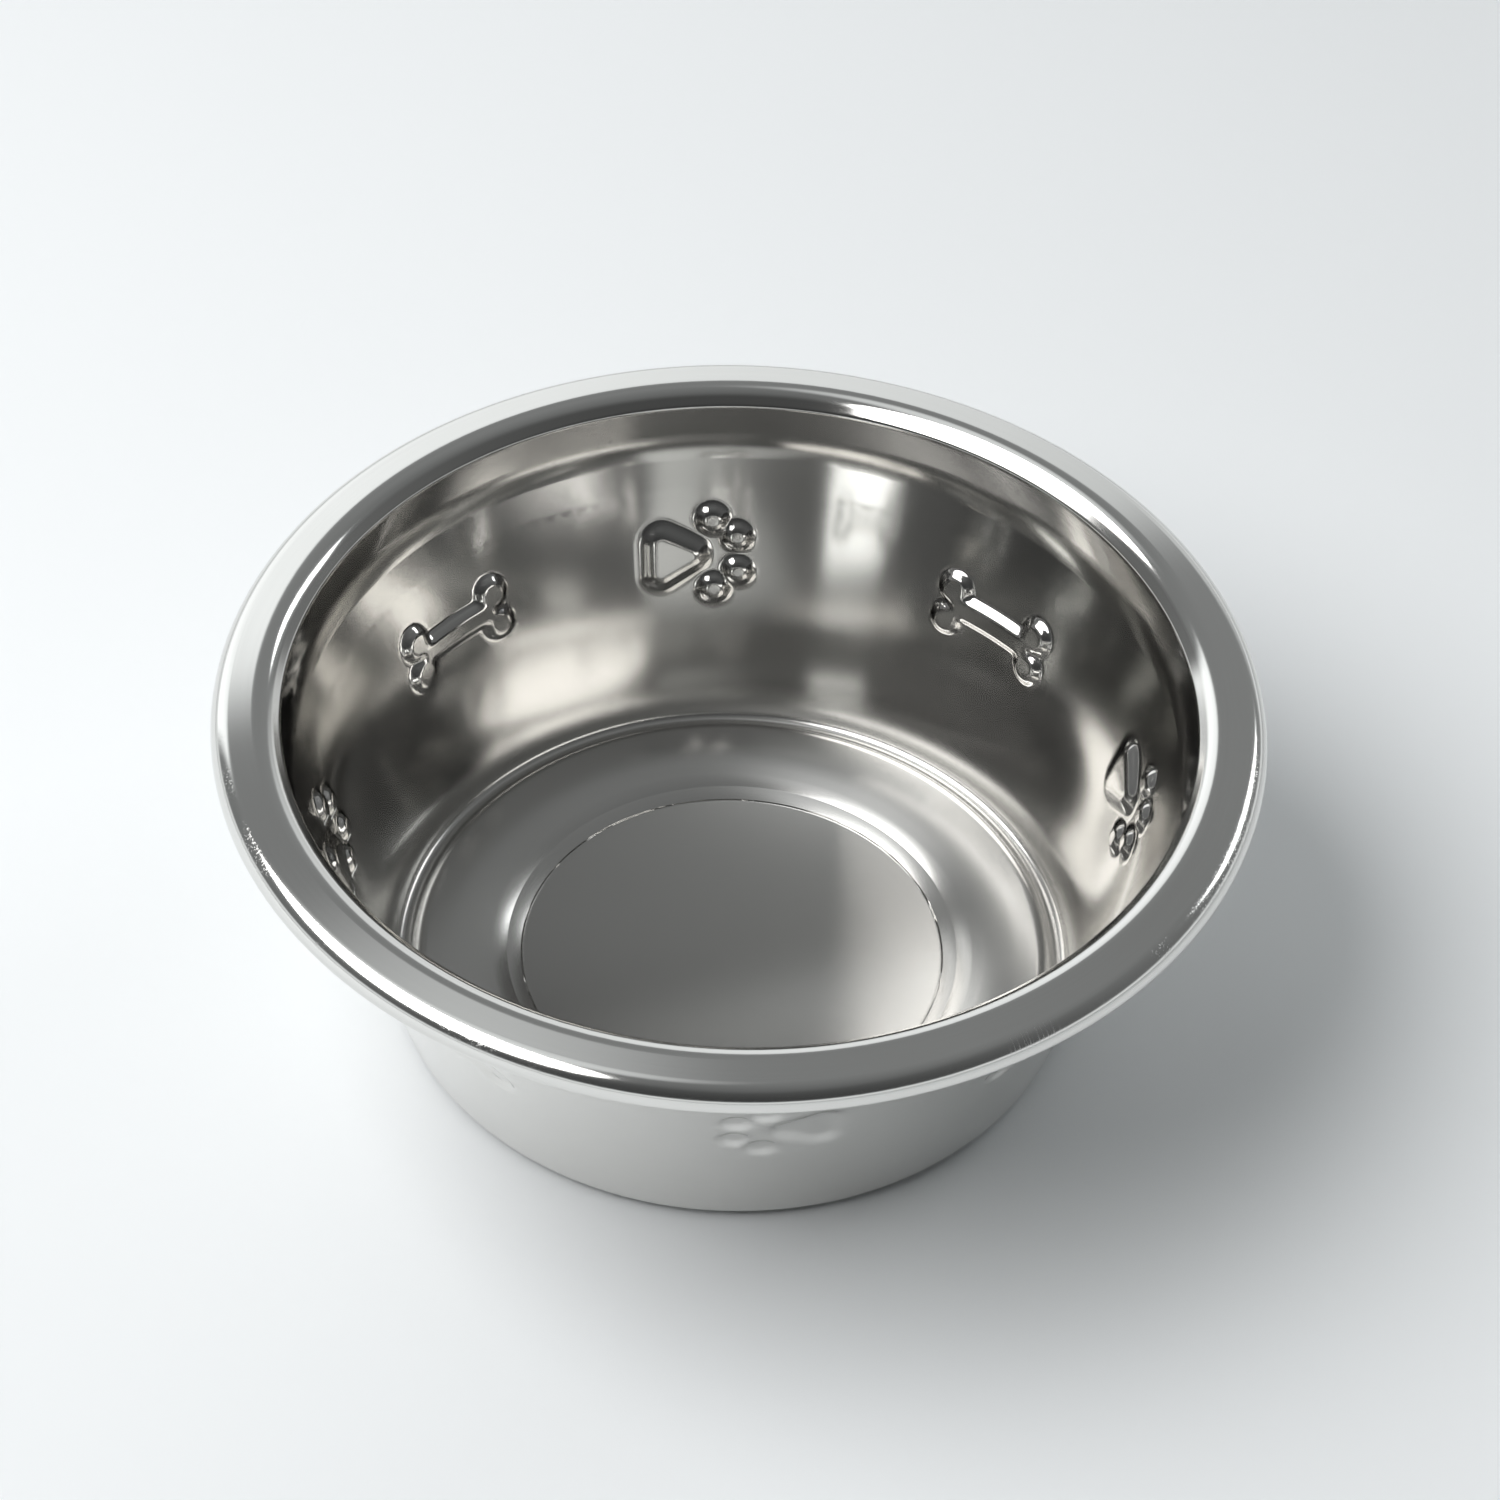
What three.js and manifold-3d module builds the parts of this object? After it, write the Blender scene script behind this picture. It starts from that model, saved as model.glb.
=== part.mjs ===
// Stainless steel dog bowl standing on a rubber non-slip ring. Millimetres, +Z up.
// The origin is on the table under the middle of the bowl, and -Y is the front.
// The bowl is one pressed sheet: a sunk centre disc, a raised annulus over the ring, a gutter at the
// foot of the wall, a flared wall with embossed paws and bones, a neck, a lip, a flange and a curled edge.

import * as THREE from 'three';
import { mergeVertices } from 'three/addons/utils/BufferGeometryUtils.js';
import Module from 'manifold-3d';

const wasm = await Module();
wasm.setup();

// Overall sizes
const RIM_DIAMETER = 165;
const OVERALL_HEIGHT = 61;
const SHEET = 0.6;

// Rim: bends are given at the inside of the sheet, as a press tool is
const FLANGE_WIDTH = 10.95;
const FLANGE_FALL = THREE.MathUtils.degToRad(9);
const CROWN_BEND = 3;
const LIP_WIDTH = 2.55;
const LIP_LEAN = THREE.MathUtils.degToRad(45);
const THROAT_BEND = 0.6;
const CURL_BEND = 2.7;
const HEM_BEND = 0.6;
const HEM_SWEEP = THREE.MathUtils.degToRad(170);

// Neck and wall
const NECK_DROP = 10.2;
const NECK_TAPER = 0.65;
const NECK_BEND = 18;
const WAIST_SHARE = 0.507;
const WAIST_INSET = 1;
const WAIST_BEND = 520;
const FOOT_DIAMETER = 109.8;

// Floor, from the wall to the middle
const GUTTER_WIDTH = 3.43;
const GUTTER_DEPTH = 3.43;
const GUTTER_BEND = 1.5;
const SHOULDER_BEND = 1.9;
const ANNULUS_WIDTH = 14.3;
const ANNULUS_RISE = 0.93;
const ANNULUS_CROWN = 0.28;
const ANNULUS_BEND = 60;
const STEP_WIDTH = 2.6;
const STEP_HEIGHT = 1.2;
const STEP_BEND = 14;
const DISC_BEND = 0.4;

// Non-slip ring under the annulus
const RING_STAND = 1.15;
const RING_CLEARANCE = 0.35;
const RING_SETBACK = 2.4;
const RING_MARGIN = 0.9;
const RING_CHAMFER = 0.8;

// Embossing, raised into the bowl: outlines are drawn on the wall as seen from inside
const EMBOSS_HEIGHT = 1.2;
const MOTIF_DROP = 29;
const MOTIFS_OF_EACH = 4;
const PAW_AZIMUTH = THREE.MathUtils.degToRad(8);
const BONE_AZIMUTH = THREE.MathUtils.degToRad(48.8);
const PAD_BACK = -5.6;
const PAD_TIP = -0.6;
const PAD_HALF_HEIGHT = 2.8;
const PAD_ROUNDING = 4;
const OUTER_TOE_ALONG = 3.4;
const OUTER_TOE_UP = 6.8;
const OUTER_TOE_RADIUS = 2.7;
const INNER_TOE_ALONG = 7.4;
const INNER_TOE_UP = 3.4;
const INNER_TOE_RADIUS = 2.5;
const BONE_LOBE_ALONG = 8.9;
const BONE_LOBE_UP = 2.9;
const BONE_LOBE_RADIUS = 2.9;
const BONE_SHAFT_HALF_HEIGHT = 2.3;
const PRISM_REACH = 8;

// Fineness of the facets
const ROUND_SEGMENTS = 48;
const BEND_STEP = THREE.MathUtils.degToRad(32);
const LOBE_SEGMENTS = 10;
const CORNER_SEGMENTS = 4;
const WELD = 1e-4;

// Radii and heights that follow from the sizes above
const rimRadius = RIM_DIAMETER / 2;
const curlRadius = CURL_BEND + SHEET;
const hemRadius = HEM_BEND + SHEET;
const throatRadius = rimRadius - FLANGE_WIDTH;
const crownRadius = throatRadius + LIP_WIDTH;
const neckRadius = throatRadius - NECK_TAPER;
const footRadius = FOOT_DIAMETER / 2;
const shoulderRadius = footRadius - GUTTER_WIDTH;
const stepRadius = shoulderRadius - ANNULUS_WIDTH;
const annulusRadius = (shoulderRadius + stepRadius) / 2;
const discRadius = stepRadius - STEP_WIDTH;
const discHeight = RING_STAND + SHEET;
const stepHeight = discHeight + STEP_HEIGHT;
const shoulderHeight = stepHeight + ANNULUS_RISE;
const annulusHeight = (shoulderHeight + stepHeight) / 2 + ANNULUS_CROWN;
const footHeight = shoulderHeight - GUTTER_DEPTH;
const neckHeight = OVERALL_HEIGHT - NECK_DROP;
const waistRadius = THREE.MathUtils.lerp(footRadius, neckRadius, WAIST_SHARE) - WAIST_INSET;
const waistHeight = THREE.MathUtils.lerp(footHeight, neckHeight, WAIST_SHARE);

// The crown's corner lies above its rounded top, which is the bowl's highest point
const crownLoss = Math.sin(LIP_LEAN) * Math.tan((LIP_LEAN + FLANGE_FALL) / 2) + Math.cos(LIP_LEAN) - 1;
const crownHeight = OVERALL_HEIGHT + (CROWN_BEND + SHEET) * crownLoss;
const throatHeight = crownHeight - LIP_WIDTH * Math.tan(LIP_LEAN);
const flangeEnd = new THREE.Vector2(rimRadius - curlRadius * (1 - Math.sin(FLANGE_FALL)), 0);
flangeEnd.y = crownHeight - (flangeEnd.x - crownRadius) * Math.tan(FLANGE_FALL);

// Turns a closed geometry into a solid that can be cut and joined
function solidOf(geometry) {
  geometry.deleteAttribute('normal');
  geometry.deleteAttribute('uv');
  const welded = mergeVertices(geometry, WELD);
  const corners = welded.index.array;
  const triangles = [];
  for (let i = 0; i < corners.length; i += 3) {
    const [a, b, c] = corners.slice(i, i + 3);
    if (a !== b && b !== c && c !== a) triangles.push(a, b, c);
  }
  const vertProperties = welded.attributes.position.array;
  return new wasm.Manifold(new wasm.Mesh({ numProp: 3, vertProperties, triVerts: Uint32Array.from(triangles) }));
}

function geometryOf(solid) {
  const { vertProperties, triVerts } = solid.getMesh();
  const geometry = new THREE.BufferGeometry();
  geometry.setAttribute('position', new THREE.BufferAttribute(vertProperties, 3));
  geometry.setIndex(new THREE.BufferAttribute(triVerts, 1));
  geometry.computeVertexNormals();
  return geometry;
}

// Turns a section of radius and height round the Z axis
function turned(section) {
  return new THREE.LatheGeometry(section, ROUND_SEGMENTS).rotateX(Math.PI / 2);
}

// The right-hand side of a direction of travel, where the sheet lies under its upper face
function rightOf(angle) {
  return new THREE.Vector2(Math.sin(angle), -Math.cos(angle));
}

// Points along an arc of the upper face, from one direction of travel to another
function bendPoints(centre, radius, from, to) {
  const side = to > from ? 1 : -1;
  const steps = Math.max(1, Math.ceil(Math.abs(to - from) / BEND_STEP));
  return Array.from({ length: steps + 1 }, (_, i) => {
    const right = rightOf(from + ((to - from) * i) / steps);
    return { point: centre.clone().addScaledVector(right, side * radius), right };
  });
}

// Upper face of the sheet through a run of corners, with each inner corner bent
function bentOutline(corners) {
  const points = corners.map(({ radius, height }) => new THREE.Vector2(radius, height));
  const headings = points.slice(1).map((point, i) => point.clone().sub(points[i]).angle());
  const signed = headings.map((angle) => (angle > Math.PI ? angle - 2 * Math.PI : angle));
  const first = { point: points[0], right: rightOf(signed[0]) };
  const bends = corners.slice(1, -1).flatMap(({ bend }, i) => {
    const [from, to] = [signed[i], signed[i + 1]];
    const side = to > from ? 1 : -1;
    const radius = side > 0 ? bend : bend + SHEET;
    const run = radius * Math.tan(Math.abs(to - from) / 2);
    const start = points[i + 1].clone().addScaledVector(rightOf(from - Math.PI / 2), run);
    return bendPoints(start.addScaledVector(rightOf(from), -side * radius), radius, from, to);
  });
  return [first, ...bends];
}

// The wall flares at its waist; the long flat of that bend carries the motifs
const wallCorners = [
  { radius: footRadius, height: footHeight, bend: GUTTER_BEND },
  { radius: waistRadius, height: waistHeight, bend: WAIST_BEND },
  { radius: neckRadius, height: neckHeight, bend: NECK_BEND },
];
const [wallFoot, wallTop] = bentOutline(wallCorners).slice(1).map(({ point }) => point);

// Wall directions in the section plane: up along the wall, and square to it into the bowl
const wallUp = wallTop.clone().sub(wallFoot).normalize();
const wallInward = new THREE.Vector2(-wallUp.y, wallUp.x);

// One sheet from the middle of the disc to the cut edge inside the hem
function pressedSheet() {
  const face = bentOutline([
    { radius: 0, height: discHeight },
    { radius: discRadius, height: discHeight, bend: DISC_BEND },
    { radius: stepRadius, height: stepHeight, bend: STEP_BEND },
    { radius: annulusRadius, height: annulusHeight, bend: ANNULUS_BEND },
    { radius: shoulderRadius, height: shoulderHeight, bend: SHOULDER_BEND },
    ...wallCorners,
    { radius: throatRadius, height: throatHeight, bend: THROAT_BEND },
    { radius: crownRadius, height: crownHeight, bend: CROWN_BEND },
    { radius: flangeEnd.x, height: flangeEnd.y },
  ]);
  const down = -Math.PI / 2;
  const curlCentre = flangeEnd.clone().addScaledVector(rightOf(-FLANGE_FALL), curlRadius);
  const hemCentre = new THREE.Vector2(rimRadius - hemRadius, curlCentre.y);
  face.push(...bendPoints(curlCentre, curlRadius, -FLANGE_FALL, down));
  face.push(...bendPoints(hemCentre, hemRadius, down, down - HEM_SWEEP).slice(1));
  const upper = face.map(({ point }) => point);
  const under = face.map(({ point, right }) => point.clone().addScaledVector(right, SHEET));
  return solidOf(turned([...under, ...upper.reverse()]));
}

// A band of the wall where the motifs lie, between two distances into the bowl from its inner face
function wallBand(from, to) {
  const length = wallTop.distanceTo(wallFoot);
  const corner = (up, inward) => wallFoot.clone().addScaledVector(wallUp, up).addScaledVector(wallInward, inward);
  return solidOf(turned([corner(0, to), corner(0, from), corner(length, from), corner(length, to), corner(0, to)]));
}

// Motif pieces are prisms that pass through the wall; an inset draws the same outline one sheet smaller
function lobe({ along, up, radius }, inset) {
  const cylinder = new THREE.CylinderGeometry(radius - inset, radius - inset, 2 * PRISM_REACH, LOBE_SEGMENTS);
  return solidOf(cylinder.rotateX(Math.PI / 2).translate(along, up, 0));
}

// Both of a pair of lobes, above and below the motif's long axis
function lobePair(place, inset) {
  return lobe(place, inset).add(lobe({ ...place, up: -place.up }, inset));
}

// A pad is a triangle with its tip towards the toes and each corner rounded
function pad(inset) {
  const radius = PAD_ROUNDING - inset;
  const flank = Math.atan2(PAD_TIP - PAD_BACK, PAD_HALF_HEIGHT);
  const outline = new THREE.Shape();
  outline.absarc(PAD_TIP, 0, radius, -flank, flank);
  outline.absarc(PAD_BACK, PAD_HALF_HEIGHT, radius, flank, Math.PI);
  outline.absarc(PAD_BACK, -PAD_HALF_HEIGHT, radius, Math.PI, 2 * Math.PI - flank);
  const settings = { depth: 2 * PRISM_REACH, bevelEnabled: false, curveSegments: CORNER_SEGMENTS };
  return solidOf(new THREE.ExtrudeGeometry(outline, settings).translate(0, 0, -PRISM_REACH));
}

function paw(inset) {
  const outerToe = { along: OUTER_TOE_ALONG, up: OUTER_TOE_UP, radius: OUTER_TOE_RADIUS };
  const innerToe = { along: INNER_TOE_ALONG, up: INNER_TOE_UP, radius: INNER_TOE_RADIUS };
  return pad(inset).add(lobePair(outerToe, inset)).add(lobePair(innerToe, inset));
}

function bone(inset) {
  const shaft = new THREE.BoxGeometry(2 * BONE_LOBE_ALONG, 2 * (BONE_SHAFT_HALF_HEIGHT - inset), 2 * PRISM_REACH);
  const end = { along: BONE_LOBE_ALONG, up: BONE_LOBE_UP, radius: BONE_LOBE_RADIUS };
  const otherEnd = { ...end, along: -BONE_LOBE_ALONG };
  return solidOf(shaft).add(lobePair(end, inset)).add(lobePair(otherEnd, inset));
}

// Sets a motif on the wall: its X runs clockwise seen from above, its Y up the wall, its Z into the bowl
function onWall(motif, azimuth) {
  const up = OVERALL_HEIGHT - MOTIF_DROP - wallFoot.y;
  const radius = wallFoot.x + (up * wallUp.x) / wallUp.y;
  const out = new THREE.Vector3(Math.cos(azimuth), Math.sin(azimuth), 0);
  const along = new THREE.Vector3(Math.sin(azimuth), -Math.cos(azimuth), 0);
  const upWall = out.clone().multiplyScalar(wallUp.x).setZ(wallUp.y);
  const place = new THREE.Matrix4().makeBasis(along, upWall, along.clone().cross(upWall));
  place.setPosition(out.multiplyScalar(radius).setZ(wallFoot.y + up));
  return motif.transform(place.elements);
}

// Four paws and four bones, alternating round the wall
function motifs(inset) {
  const turns = Array.from({ length: MOTIFS_OF_EACH }, (_, i) => (i * 2 * Math.PI) / MOTIFS_OF_EACH);
  const paws = turns.map((turn) => onWall(paw(inset), PAW_AZIMUTH + turn));
  const bones = turns.map((turn) => onWall(bone(inset), BONE_AZIMUTH + turn));
  return [...paws, ...bones].reduce((all, motif) => all.add(motif));
}

// The motifs stand into the bowl and leave matching hollows on the outside of the wall
function bowlShell() {
  const raised = motifs(0).intersect(wallBand(-SHEET / 2, EMBOSS_HEIGHT));
  const hollows = motifs(SHEET).intersect(wallBand(-PRISM_REACH, EMBOSS_HEIGHT - SHEET));
  return geometryOf(pressedSheet().add(raised).subtract(hollows));
}

// The ring lies under the annulus, with a top that follows the annulus's two slopes
function nonSlipRing() {
  const crest = annulusHeight - SHEET - RING_CLEARANCE;
  const innerSlope = (annulusHeight - stepHeight) / (annulusRadius - stepRadius);
  const outerSlope = (shoulderHeight - annulusHeight) / (shoulderRadius - annulusRadius);
  const top = (radius) => crest + (radius - annulusRadius) * (radius < annulusRadius ? innerSlope : outerSlope);
  const inner = stepRadius + RING_SETBACK;
  const outer = shoulderRadius - RING_MARGIN;
  const shoulder = outer - RING_CHAMFER;
  const section = [
    new THREE.Vector2(inner, 0),
    new THREE.Vector2(outer, 0),
    new THREE.Vector2(outer, top(outer) - RING_CHAMFER),
    new THREE.Vector2(shoulder, top(shoulder)),
    new THREE.Vector2(annulusRadius, top(annulusRadius)),
    new THREE.Vector2(inner, top(inner)),
    new THREE.Vector2(inner, 0),
  ];
  return geometryOf(solidOf(turned(section)));
}

function node(name, geometry, finish) {
  const mesh = new THREE.Mesh(geometry, new THREE.MeshStandardMaterial(finish));
  mesh.name = name;
  return mesh;
}

const bowl = new THREE.Group();
bowl.name = 'dog_bowl';
bowl.add(node('bowl_shell', bowlShell(), { color: 0xc9c9c6, roughness: 0.12, metalness: 1 }));
bowl.add(node('non_slip_ring', nonSlipRing(), { color: 0x1b1b1c, roughness: 0.8, metalness: 0 }));

export default bowl;
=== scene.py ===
# %% [markdown]
# # A pressed steel dog bowl
#
# The real bowl is one disc of stainless sheet, drawn and pressed into a floor, a wall, a neck, a flange
# and a curled edge, with a rubber ring bonded under its base. The imported solids come first, because every
# surface made here has to lie where they do.

import bpy
import numpy as np
from mathutils import Matrix, Vector


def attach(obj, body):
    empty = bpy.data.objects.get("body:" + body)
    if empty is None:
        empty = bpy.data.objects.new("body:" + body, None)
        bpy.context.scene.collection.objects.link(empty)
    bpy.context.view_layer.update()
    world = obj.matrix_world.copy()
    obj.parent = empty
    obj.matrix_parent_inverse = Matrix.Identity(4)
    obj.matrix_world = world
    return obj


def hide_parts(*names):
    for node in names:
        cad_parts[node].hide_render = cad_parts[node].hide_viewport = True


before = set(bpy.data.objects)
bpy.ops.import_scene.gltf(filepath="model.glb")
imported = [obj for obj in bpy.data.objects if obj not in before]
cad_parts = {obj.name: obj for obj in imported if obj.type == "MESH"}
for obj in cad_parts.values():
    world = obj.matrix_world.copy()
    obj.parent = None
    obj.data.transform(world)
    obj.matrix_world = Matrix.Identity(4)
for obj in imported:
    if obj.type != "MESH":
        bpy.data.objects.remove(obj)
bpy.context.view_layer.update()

# %% [markdown]
# ## The section of the sheet
#
# A pressed bowl is a section turned about an axis. The section is easiest to draw as the corners where
# two straight runs would meet, with an inside bend radius at each corner, as on a press tool's drawing.
# Drawing every point by hand would be long and hard to change. All sizes are in metres.

# %% Sizes of the sheet
MM = 0.001
RIM_RADIUS = 82.5 * MM
OVERALL_HEIGHT = 61.0 * MM
SHEET = 0.6 * MM
FLANGE_WIDTH = 10.95 * MM
FLANGE_FALL = np.radians(9.0)
CROWN_BEND = 3.0 * MM
LIP_WIDTH = 2.55 * MM
LIP_LEAN = np.radians(45.0)
THROAT_BEND = 0.6 * MM
CURL_RADIUS = 3.3 * MM
HEM_RADIUS = 1.2 * MM
HEM_SWEEP = np.radians(170.0)
NECK_DROP = 10.2 * MM
NECK_TAPER = 0.65 * MM
NECK_BEND = 18.0 * MM
WAIST_SHARE = 0.507
WAIST_INSET = 1.0 * MM
WAIST_BEND = 520.0 * MM
FOOT_RADIUS = 54.9 * MM
GUTTER_WIDTH = 3.43 * MM
GUTTER_DEPTH = 3.43 * MM
GUTTER_BEND = 1.5 * MM
SHOULDER_BEND = 1.9 * MM
ANNULUS_WIDTH = 14.3 * MM
ANNULUS_RISE = 0.93 * MM
ANNULUS_CROWN = 0.28 * MM
ANNULUS_BEND = 60.0 * MM
STEP_WIDTH = 2.6 * MM
STEP_HEIGHT = 1.2 * MM
STEP_BEND = 14.0 * MM
DISC_BEND = 0.4 * MM
RING_STAND = 1.15 * MM

# %% Corners of the section, from the middle of the disc to the flange
shoulder_radius = FOOT_RADIUS - GUTTER_WIDTH
step_radius = shoulder_radius - ANNULUS_WIDTH
annulus_radius = (shoulder_radius + step_radius) / 2
disc_radius = step_radius - STEP_WIDTH
throat_radius = RIM_RADIUS - FLANGE_WIDTH
crown_radius = throat_radius + LIP_WIDTH
neck_radius = throat_radius - NECK_TAPER
waist_radius = FOOT_RADIUS + WAIST_SHARE * (neck_radius - FOOT_RADIUS) - WAIST_INSET
disc_height = RING_STAND + SHEET
step_height = disc_height + STEP_HEIGHT
shoulder_height = step_height + ANNULUS_RISE
annulus_height = (shoulder_height + step_height) / 2 + ANNULUS_CROWN
foot_height = shoulder_height - GUTTER_DEPTH
neck_height = OVERALL_HEIGHT - NECK_DROP
waist_height = foot_height + WAIST_SHARE * (neck_height - foot_height)

crown_loss = np.sin(LIP_LEAN) * np.tan((LIP_LEAN + FLANGE_FALL) / 2) + np.cos(LIP_LEAN) - 1
crown_height = OVERALL_HEIGHT + (CROWN_BEND + SHEET) * crown_loss
throat_height = crown_height - LIP_WIDTH * np.tan(LIP_LEAN)
flange_end_radius = RIM_RADIUS - CURL_RADIUS * (1 - np.sin(FLANGE_FALL))
flange_end_height = crown_height - (flange_end_radius - crown_radius) * np.tan(FLANGE_FALL)

corners = np.array([
    (0.0, disc_height),
    (disc_radius, disc_height),
    (step_radius, step_height),
    (annulus_radius, annulus_height),
    (shoulder_radius, shoulder_height),
    (FOOT_RADIUS, foot_height),
    (waist_radius, waist_height),
    (neck_radius, neck_height),
    (throat_radius, throat_height),
    (crown_radius, crown_height),
    (flange_end_radius, flange_end_height),
])
bends = (DISC_BEND, STEP_BEND, ANNULUS_BEND, SHOULDER_BEND, GUTTER_BEND,
         WAIST_BEND, NECK_BEND, THROAT_BEND, CROWN_BEND)
print("section corners in mm:", np.round(corners / MM, 2).tolist())

# %% [markdown]
# ## Bends and straight runs
#
# Each corner becomes an arc, and each straight run gets a close pair of points near its two ends. Smooth
# shading averages the faces round a point, so without that pair a flat run would look slightly swollen,
# which a polished surface shows at once. Each point also carries the direction to the right of travel,
# where the sheet's other face lies.

# %% Arcs and runs
ARC_STEP = np.radians(10.0)
ARC_LENGTH = 2.4 * MM
RUN_GUARD = 0.2 * MM


def right_of(angle):
    """The unit vector a quarter turn to the right of a heading: (sin a, -cos a)."""
    return np.stack([np.sin(angle), -np.cos(angle)], axis=-1)


def arc(centre, radius, start, end):
    """Points on a bend: centre plus or minus radius times the right-hand vector, as the heading turns."""
    side = np.sign(end - start)
    turn = abs(end - start)
    steps = int(np.ceil(max(turn / ARC_STEP, turn * radius / ARC_LENGTH)))
    headings = np.linspace(start, end, steps + 1)
    rights = right_of(headings)
    return centre + side * radius * rights, rights


def run(start, end, inner_points=0):
    """A straight run: guard points near both ends, and equal steps between them."""
    length = np.linalg.norm(end - start)
    shares = np.linspace(RUN_GUARD / length, 1 - RUN_GUARD / length, inner_points + 2)[:, None]
    rights = right_of(np.arctan2(*(end - start)[::-1]))
    return start + shares * (end - start), np.repeat(rights[None], inner_points + 2, axis=0)


def bent_corners(points, radii):
    """Arcs at the inner corners: each starts where its tangent length, r tan(turn / 2), leaves the corner."""
    steps = np.diff(points, axis=0)
    headings = np.arctan2(steps[:, 1], steps[:, 0])
    arcs = []
    for corner, bend, start, end in zip(points[1:-1], radii, headings, headings[1:]):
        side = np.sign(end - start)
        radius = bend if side > 0 else bend + SHEET
        along = np.array([np.cos(start), np.sin(start)])
        begin = corner - along * radius * np.tan(abs(end - start) / 2)
        arcs.append(arc(begin - side * radius * right_of(start), radius, start, end))
    return arcs


(disc_arc, step_arc, annulus_arc, shoulder_arc, gutter_arc,
 waist_arc, neck_arc, throat_arc, crown_arc) = bent_corners(corners, bends)
flange_end = corners[-1]
curl_centre = flange_end + right_of(-FLANGE_FALL) * CURL_RADIUS
hem_centre = np.array([RIM_RADIUS - HEM_RADIUS, curl_centre[1]])
curl_arc = arc(curl_centre, CURL_RADIUS, -FLANGE_FALL, -np.pi / 2)
hem_arc = arc(hem_centre, HEM_RADIUS, -np.pi / 2, -np.pi / 2 - HEM_SWEEP)
print("curl centre in mm:", np.round(curl_centre / MM, 2).tolist())

# %% [markdown]
# ## The embossing
#
# Paws and bones are pressed into the wall from outside, so they stand up inside the bowl and leave soft
# hollows outside. A signed distance to each outline, measured on the wall, turns into a height through
# one smooth ramp. That gives real geometry on both faces of the sheet, with a share of the height for the
# fainter outside. Sculpting it or using a bump map would leave the outside flat or the edges uneven.

# %% Sizes of the motifs, on the wall as seen from inside: along to the right, up to the rim
MOTIF_DROP = 29.0 * MM
MOTIFS_OF_EACH = 4
PAW_AZIMUTH = np.radians(8.0)
BONE_AZIMUTH = np.radians(48.8)
PAD_CORNERS = np.array([(-0.6, 0.0), (-5.6, 2.8), (-5.6, -2.8)]) * MM
PAD_ROUNDING = 4.0 * MM
PAD_HEIGHT = 1.4 * MM
PAD_RAMP = (0.5 * MM, -3.4 * MM)
TOES = np.array([(3.4, 6.4, 3.0), (3.4, -6.4, 3.0), (7.6, 3.2, 2.9), (7.6, -3.2, 2.9)]) * MM
TOE_HEIGHT = 1.15 * MM
TOE_RAMP = (0.6 * MM, -2.0 * MM)
BONE_LOBES = np.array([(8.9, 2.9, 2.9), (8.9, -2.9, 2.9), (-8.9, 2.9, 2.9), (-8.9, -2.9, 2.9)]) * MM
BONE_SHAFT = np.array([8.9, 2.3]) * MM
BONE_HEIGHT = 1.2 * MM
BONE_RAMP = (0.6 * MM, -1.1 * MM)
BONE_FILLET = 1.2 * MM
OUTSIDE_SHARE = 0.5

# %% Heights from distances


def ramp(distance, edges):
    """A soft step from 0 outside to 1 inside: 6t^5 - 15t^4 + 10t^3, with t running between the two edges."""
    t = np.clip((edges[0] - distance) / (edges[0] - edges[1]), 0, 1)
    return t**3 * (t * (6 * t - 15) + 10)


def soft_least(first, second, blend):
    """The lesser of two distances, rounded where they meet: min - blend / 4 * (1 - gap / blend)^2."""
    meet = np.clip(1 - abs(first - second) / blend, 0, 1)
    return np.minimum(first, second) - meet**2 * blend / 4


def lobe_distance(along, up, lobes):
    """Signed distance to the nearest of several round lobes: distance from the centre less the radius."""
    return np.min([np.hypot(along - a, up - u) - radius for a, u, radius in lobes], axis=0)


def pad_distance(along, up):
    """Signed distance to a rounded triangle: distance to its edges, negative inside, less the rounding."""
    nearest, inside = np.inf, True
    for (a0, u0), (a1, u1) in zip(PAD_CORNERS, np.roll(PAD_CORNERS, -1, axis=0)):
        edge_a, edge_u = a1 - a0, u1 - u0
        share = np.clip(((along - a0) * edge_a + (up - u0) * edge_u) / (edge_a**2 + edge_u**2), 0, 1)
        nearest = np.minimum(nearest, np.hypot(along - a0 - share * edge_a, up - u0 - share * edge_u))
        inside = inside & (edge_a * (up - u0) - edge_u * (along - a0) > 0)
    return np.where(inside, -nearest, nearest) - PAD_ROUNDING


def paw_height(along, up):
    """The pad's and the toes' heights, whichever is the greater."""
    toes = TOE_HEIGHT * ramp(lobe_distance(along, up, TOES), TOE_RAMP)
    return np.maximum(toes, PAD_HEIGHT * ramp(pad_distance(along, up), PAD_RAMP))


def bone_height(along, up):
    """Four lobes joined to a straight shaft, with a fillet between them."""
    shaft = np.maximum(abs(along) - BONE_SHAFT[0], abs(up) - BONE_SHAFT[1])
    joined = soft_least(lobe_distance(along, up, BONE_LOBES), shaft, BONE_FILLET)
    return BONE_HEIGHT * ramp(joined, BONE_RAMP)


def embossing(up, radius, angles):
    """Height of all motifs on the wall: each repeats every quarter turn, clockwise seen from above."""
    pitch = 2 * np.pi / MOTIFS_OF_EACH

    def along(azimuth):
        return -radius * ((angles - azimuth + pitch / 2) % pitch - pitch / 2)

    return np.maximum(paw_height(along(PAW_AZIMUTH), up), bone_height(along(BONE_AZIMUTH), up))


# %% [markdown]
# ## Turning the sheet
#
# The section is carried round the axis as rows of points. Fine detail is only in the band of the motifs,
# so its rows have four times as many columns as the rest, and two rows of double width join them. The
# columns also lie closer together where a motif is. One even grid of that fineness would be four times
# the size.

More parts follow.
